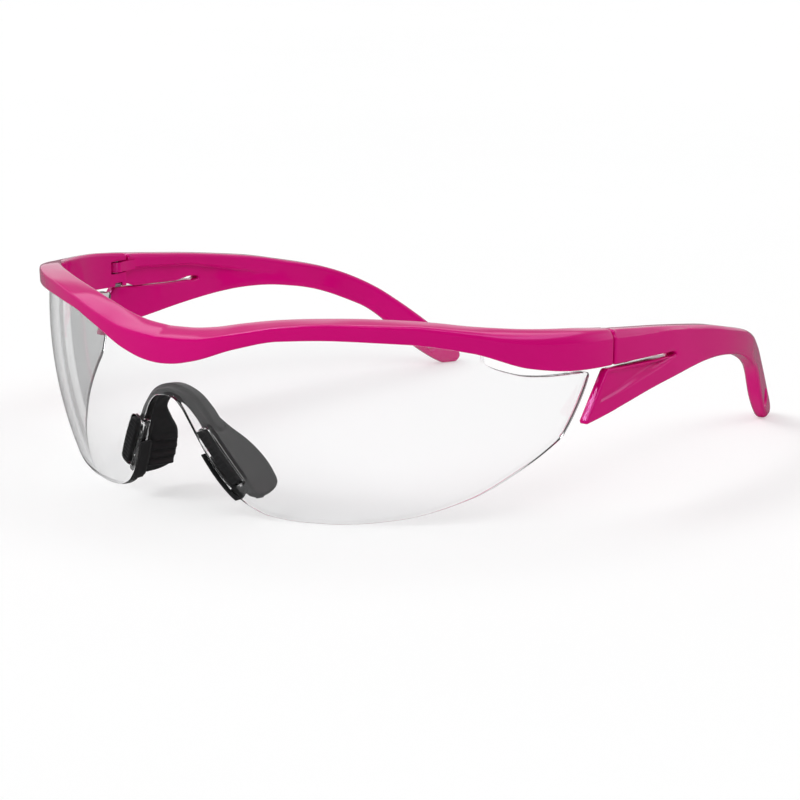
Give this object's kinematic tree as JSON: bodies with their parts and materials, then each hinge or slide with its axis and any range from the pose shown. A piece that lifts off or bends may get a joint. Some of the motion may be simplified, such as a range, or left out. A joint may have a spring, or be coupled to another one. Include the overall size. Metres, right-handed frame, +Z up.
{
  "type": "sports protective goggles",
  "caption": "Wraparound sports goggles: gloss brow frame, one-piece clear shield lens, soft nose piece and hooked temples that fold inward.",
  "frame": {"origin": "centre of the unfolded goggles' footprint, on the table that the lens and the temple tips rest on", "axes": "+Z up, +Y towards the back of the wearer's head along the temples, +X towards the wearer's left, with x = 0 the plane of symmetry"},
  "size_m": [0.14, 0.155, 0.043],
  "materials": {
    "gloss_pink": "high gloss, moulded in colour",
    "clear_lens": "polished clear polycarbonate",
    "black_rubber": "soft satin",
    "hinge_steel": "turned"
  },
  "bodies": {
    "front": {"brow_frame": "gloss_pink", "lens": "clear_lens", "nose_piece": "black_rubber", "hinge_screw_left": "hinge_steel", "hinge_screw_right": "hinge_steel"},
    "temple_left": {"temple_left": "gloss_pink"},
    "temple_right": {"temple_right": "gloss_pink"}
  },
  "joints": [
    {"name": "temple_left_fold", "type": "hinge", "parent": "front", "child": "temple_left", "pos_m": [0.0669, -0.02026, 0.035], "axis": [0, 0, 1], "range_deg": [0, 96]},
    {"name": "temple_right_fold", "type": "hinge", "parent": "front", "child": "temple_right", "pos_m": [-0.0669, -0.02026, 0.035], "axis": [0, 0, -1], "range_deg": [0, 84]}
  ]
}
